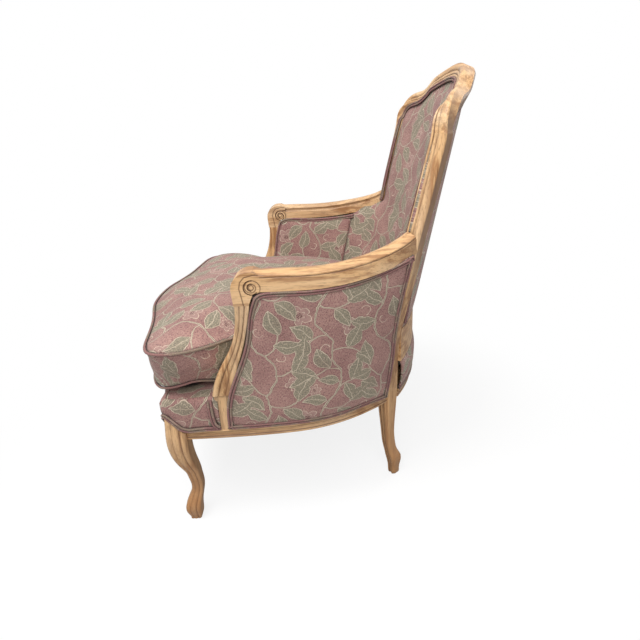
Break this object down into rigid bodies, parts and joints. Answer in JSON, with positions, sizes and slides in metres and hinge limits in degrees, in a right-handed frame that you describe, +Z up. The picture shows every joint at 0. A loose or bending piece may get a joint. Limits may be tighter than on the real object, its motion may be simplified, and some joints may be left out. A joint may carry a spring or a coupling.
{
  "type": "bergere armchair",
  "caption": "Upholstered bergere armchair with a carved wooden frame, cabriole legs, closed arms, a bowed back and a loose seat cushion.",
  "frame": {"origin": "on the floor, under the middle of the chair", "axes": "+Z up, the chair faces -Y, +X is the sitter's left"},
  "size_m": [0.6646, 0.7968, 1.0141],
  "materials": {
    "carved_wood": "honey wash with brown glaze in the carving, satin",
    "plain_beech": "unfinished beech",
    "floral_tapestry": "dusty rose woven ground with grey-green leaves outlined in cream",
    "double_welt": "double piping cut from the same cloth",
    "spring_steel": "drawn wire",
    "black_cambric": "matt black dust cloth"
  },
  "bodies": {
    "frame": {"arm_liner_left": "plain_beech", "arm_liner_right": "plain_beech", "arm_rail_left": "carved_wood", "arm_rail_right": "carved_wood", "arm_support_left": "carved_wood", "arm_support_right": "carved_wood", "back_cross_rail": "carved_wood", "back_seat_rail": "carved_wood", "back_stile_left": "carved_wood", "back_stile_right": "carved_wood", "corner_blocks": "plain_beech", "crest_rail": "carved_wood", "deck_welt": "double_welt", "dust_cover": "black_cambric", "frame_dowels": "plain_beech", "front_leg_left": "carved_wood", "front_leg_right": "carved_wood", "front_seat_rail": "carved_wood", "inner_arm_pad_left": "floral_tapestry", "inner_arm_pad_right": "floral_tapestry", "inner_arm_welt_left": "double_welt", "inner_arm_welt_right": "double_welt", "inner_back_pad": "floral_tapestry", "inner_back_welt": "double_welt", "lower_back_cover": "floral_tapestry", "lower_back_welt": "double_welt", "outer_arm_cover_left": "floral_tapestry", "outer_arm_cover_right": "floral_tapestry", "outer_arm_welt_left": "double_welt", "outer_arm_welt_right": "double_welt", "outer_back_cover": "floral_tapestry", "outer_back_welt": "double_welt", "seat_deck": "floral_tapestry", "seat_deck_skirt": "floral_tapestry", "seat_springs": "spring_steel", "side_seat_rail_left": "carved_wood", "side_seat_rail_right": "carved_wood"},
    "cushion": {"cushion_welt_bottom": "double_welt", "cushion_welt_top": "double_welt", "seat_cushion": "floral_tapestry"}
  },
  "joints": [
    {"name": "cushion_lift", "type": "slide", "parent": "frame", "child": "cushion", "axis": [0, 0, 1], "range_m": [0, 0.33]}
  ]
}
